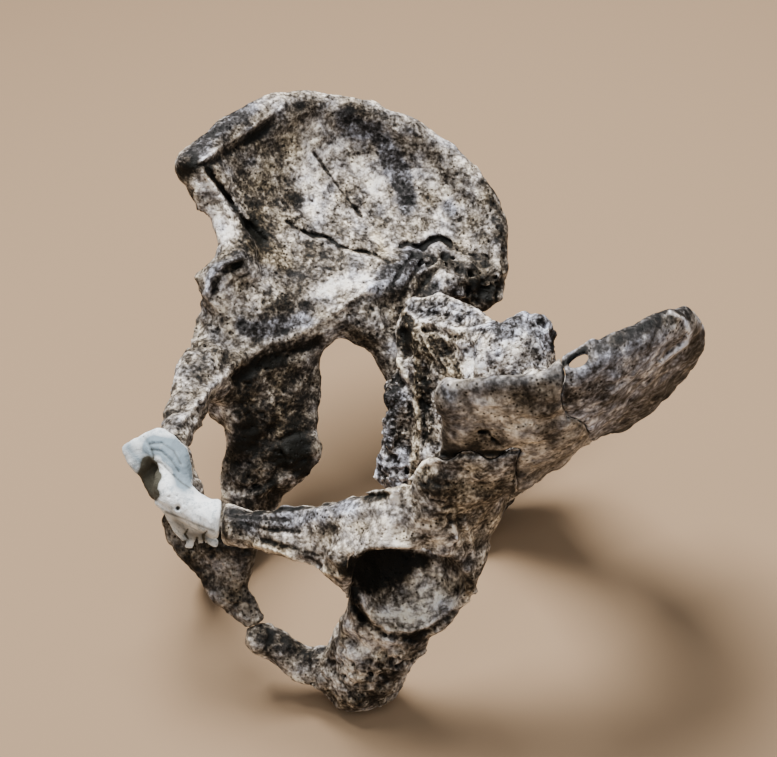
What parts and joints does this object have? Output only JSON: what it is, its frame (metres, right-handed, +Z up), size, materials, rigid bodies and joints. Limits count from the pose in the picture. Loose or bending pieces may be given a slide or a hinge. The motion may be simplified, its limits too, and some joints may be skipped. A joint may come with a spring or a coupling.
{
  "type": "fossil pelvis",
  "caption": "Reassembled fossil pelvis of an adult hominin: hip bones, broken ilium pieces, sacrum and a plaster fill that joins the pubic bones at the front.",
  "frame": {"origin": "on the floor, under the middle of the pelvis as it rests", "axes": "+Z up, +Y the way the viewer looks, from the left hip towards the right hip's inner face, +X to the viewer's right, from the pubic bones towards the sacrum and the left iliac crest"},
  "size_m": [0.2557, 0.2992, 0.1977],
  "materials": {
    "mottled_bone": "fossil bone mottled cream, tan, blue-grey and black, satin",
    "olive_bone": "olive-tan fossil bone with dark stains, satin",
    "dark_bone": "dark grey-brown fossil bone with fine pores, satin",
    "spongy_bone": "grey and cream crumbling spongy bone with black pores, matt",
    "plaster": "pale bluish white plaster with pits and a stained edge, matt"
  },
  "bodies": {
    "root": {"right_hip_bone": "mottled_bone", "left_hip_body": "mottled_bone", "left_ilium": "olive_bone", "left_iliac_crest": "dark_bone", "left_pubis": "dark_bone", "sacrum": "spongy_bone", "plaster_fill": "plaster"}
  },
  "joints": []
}
